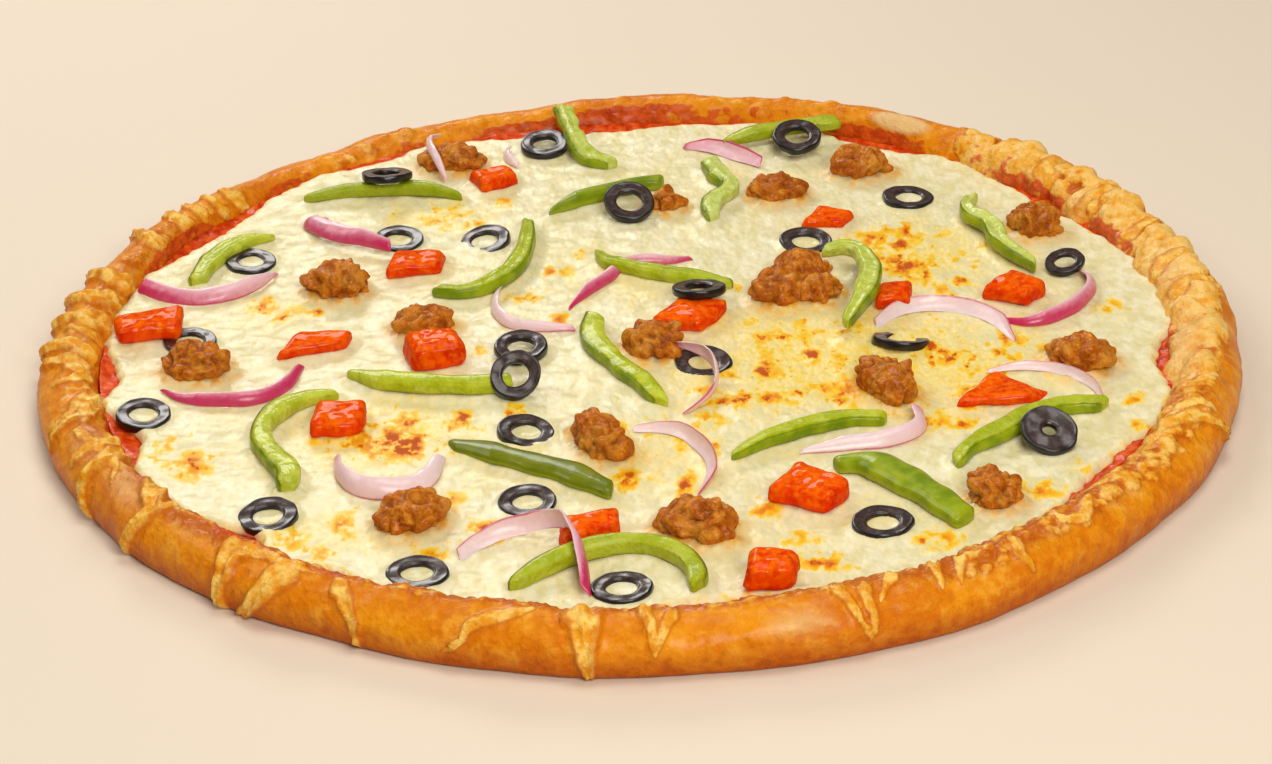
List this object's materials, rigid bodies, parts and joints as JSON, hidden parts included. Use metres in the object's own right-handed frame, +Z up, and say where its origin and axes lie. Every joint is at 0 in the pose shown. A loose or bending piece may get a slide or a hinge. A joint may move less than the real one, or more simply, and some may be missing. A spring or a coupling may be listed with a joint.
{
  "type": "pan pizza",
  "caption": "Whole round pan pizza with a raised golden crust, melted cheese, green pepper strips, diced tomato, sausage, red onion and sliced black olives.",
  "frame": {"origin": "middle of the flat underside of the crust, on the surface the pizza rests on", "axes": "+Z up through the toppings, +X to the right and +Y to the back as the picture shows the pizza"},
  "size_m": [0.3518, 0.3508, 0.0208],
  "materials": {
    "baked_crust": "golden baked dough, slightly glossy with oil",
    "tomato_sauce": "wet red sauce",
    "melted_cheese": "melted cheese, satin with browned spots",
    "green_pepper": "moist cut flesh and glossy skin",
    "tomato": "wet cut tomato",
    "sausage": "rough browned meat",
    "black_olive": "smooth and glossy"
  },
  "bodies": {
    "root": {"crust": "baked_crust", "sauce": "tomato_sauce", "cheese": "melted_cheese", "pepper_01": "green_pepper", "pepper_02": "green_pepper", "pepper_03": "green_pepper", "pepper_04": "green_pepper", "pepper_05": "green_pepper", "pepper_06": "green_pepper", "pepper_07": "green_pepper", "pepper_08": "green_pepper", "pepper_09": "green_pepper", "pepper_10": "green_pepper", "pepper_11": "green_pepper", "pepper_12": "green_pepper", "pepper_13": "green_pepper", "pepper_14": "green_pepper", "pepper_15": "green_pepper", "pepper_16": "green_pepper", "pepper_17": "green_pepper", "pepper_18": "green_pepper", "tomato_01": "tomato", "tomato_02": "tomato", "tomato_03": "tomato", "tomato_04": "tomato", "tomato_05": "tomato", "tomato_06": "tomato", "tomato_07": "tomato", "tomato_08": "tomato", "tomato_09": "tomato", "tomato_10": "tomato", "tomato_11": "tomato", "tomato_12": "tomato", "tomato_13": "tomato", "tomato_14": "tomato", "sausage_01": "sausage", "sausage_02": "sausage", "sausage_03": "sausage", "sausage_04": "sausage", "sausage_05": "sausage", "sausage_06": "sausage", "sausage_07": "sausage", "sausage_08": "sausage", "sausage_09": "sausage", "sausage_10": "sausage", "sausage_11": "sausage", "sausage_12": "sausage", "sausage_13": "sausage", "sausage_14": "sausage", "sausage_15": "sausage", "sausage_16": "sausage", "olive_01": "black_olive", "olive_02": "black_olive", "olive_03": "black_olive", "olive_04": "black_olive", "olive_05": "black_olive", "olive_06": "black_olive", "olive_07": "black_olive", "olive_08": "black_olive", "olive_09": "black_olive"}
  },
  "joints": []
}
